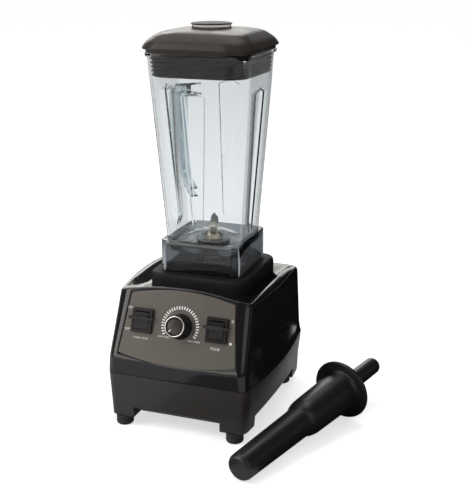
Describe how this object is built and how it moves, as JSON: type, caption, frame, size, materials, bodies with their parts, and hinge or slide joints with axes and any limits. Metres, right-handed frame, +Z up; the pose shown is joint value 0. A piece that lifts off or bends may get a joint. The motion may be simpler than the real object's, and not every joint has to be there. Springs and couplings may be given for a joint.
{
  "type": "countertop blender",
  "caption": "High-power countertop blender with a square clear jar on a rubber pad, black lid with a plug, leaning control panel with a dial and two rocker switches, and a loose tamper.",
  "frame": {"origin": "on the jar and motor axis at the underside of the base pan, 22 mm above the worktop the feet stand on", "axes": "+Z up along the jar and motor axis; the control panel faces -Y; +X is to the right of someone facing the panel"},
  "size_m": [0.3317, 0.3406, 0.5112],
  "materials": {
    "housing_black": "polished",
    "pan_charcoal": "satin",
    "panel_grey": "satin",
    "pad_rubber": "matte",
    "foot_rubber": "matte",
    "switch_black": "semi gloss",
    "knob_black": "satin",
    "knob_chrome": "polished",
    "component_blue": "satin",
    "shaft_steel": "ground",
    "board_green": "satin",
    "core_steel": "laminated",
    "winding_copper": "enamelled wire",
    "frame_aluminium": "die cast",
    "hub_brass": "machined",
    "carbon_black": "matte",
    "fan_nylon": "satin",
    "jar_clear": "clear polished",
    "skirt_smoke": "clear smoke",
    "lid_black": "satin",
    "cap_clear": "clear polished",
    "blade_steel": "ground",
    "tamper_black": "satin"
  },
  "bodies": {
    "base": {"base_pan": "pan_charcoal", "upper_housing": "housing_black", "control_panel": "panel_grey", "centering_pad": "pad_rubber", "foot_front_left": "foot_rubber", "foot_front_right": "foot_rubber", "foot_rear_left": "foot_rubber", "foot_rear_right": "foot_rubber", "start_switch_housing": "switch_black", "pulse_switch_housing": "switch_black", "speed_control_body": "component_blue", "speed_board": "board_green", "cable_gland": "switch_black", "stator_core": "core_steel", "field_coil_left": "winding_copper", "field_coil_right": "winding_copper", "motor_bearing_lower": "shaft_steel", "motor_bearing_upper": "shaft_steel", "motor_frame_lower": "frame_aluminium", "motor_frame_upper": "frame_aluminium", "brush_holder_rear": "hub_brass", "brush_holder_front": "hub_brass", "brush_rear": "carbon_black", "brush_front": "carbon_black", "motor_mount_1": "foot_rubber", "motor_mount_2": "foot_rubber", "motor_mount_3": "foot_rubber", "motor_mount_4": "foot_rubber"},
    "rotor": {"motor_shaft": "shaft_steel", "rotor_core": "core_steel", "rotor_winding": "winding_copper", "commutator": "winding_copper", "cooling_fan": "fan_nylon", "drive_stud": "shaft_steel"},
    "knob": {"speed_knob": "knob_black", "knob_ring": "knob_chrome", "speed_control_shaft": "shaft_steel"},
    "start_switch": {"start_rocker": "switch_black"},
    "pulse_switch": {"pulse_rocker": "switch_black"},
    "jar_unit": {"jar": "jar_clear", "jar_handle": "jar_clear", "jar_skirt": "skirt_smoke", "blade_gasket": "foot_rubber", "blade_housing": "hub_brass", "retaining_nut": "frame_aluminium", "blade_bearing_lower": "shaft_steel", "blade_bearing_upper": "shaft_steel"},
    "blades": {"blade_shaft": "shaft_steel", "lower_blade": "blade_steel", "upper_blade": "blade_steel", "blade_nut": "shaft_steel", "drive_socket": "shaft_steel"},
    "lid_unit": {"lid": "lid_black"},
    "lid_plug": {"cap_body": "cap_clear", "cap_disc": "lid_black"},
    "tamper_unit": {"tamper": "tamper_black"}
  },
  "joints": [
    {"name": "motor_spin", "type": "hinge", "parent": "base", "child": "rotor", "pos_m": [0, 0, 0.087], "axis": [0, 0, 1], "continuous": true},
    {"name": "jar_lift", "type": "slide", "parent": "base", "child": "jar_unit", "axis": [0, 0, 1], "range_m": [0, 0.25]},
    {"name": "blade_spin", "type": "hinge", "parent": "jar_unit", "child": "blades", "pos_m": [0, 0, 0.2], "axis": [0, 0, 1], "continuous": true},
    {"name": "lid_lift", "type": "slide", "parent": "jar_unit", "child": "lid_unit", "axis": [0, 0, 1], "range_m": [0, 0.12]},
    {"name": "cap_lift", "type": "slide", "parent": "lid_unit", "child": "lid_plug", "axis": [0, 0, 1], "range_m": [0, 0.08]},
    {"name": "speed_turn", "type": "hinge", "parent": "base", "child": "knob", "pos_m": [0.001, -0.11998, 0.1207], "axis": [0, 0.9379, -0.3469], "range_deg": [0, 270]},
    {"name": "start_rock", "type": "hinge", "parent": "base", "child": "start_switch", "pos_m": [-0.0514, -0.11905, 0.12207], "axis": [-1, 0, 0], "range_deg": [0, 14]},
    {"name": "pulse_rock", "type": "hinge", "parent": "base", "child": "pulse_switch", "pos_m": [0.0514, -0.11905, 0.12207], "axis": [-1, 0, 0], "range_deg": [0, 14], "stiffness_Nm_per_rad": 0.05, "springref_deg": -5.73},
    {"name": "tamper_lift", "type": "slide", "parent": "base", "child": "tamper_unit", "axis": [0, 0, 1], "range_m": [0, 0.3]}
  ],
  "couplings": [
    {"joint": "blade_spin", "follows": "motor_spin", "ratio": 1}
  ]
}
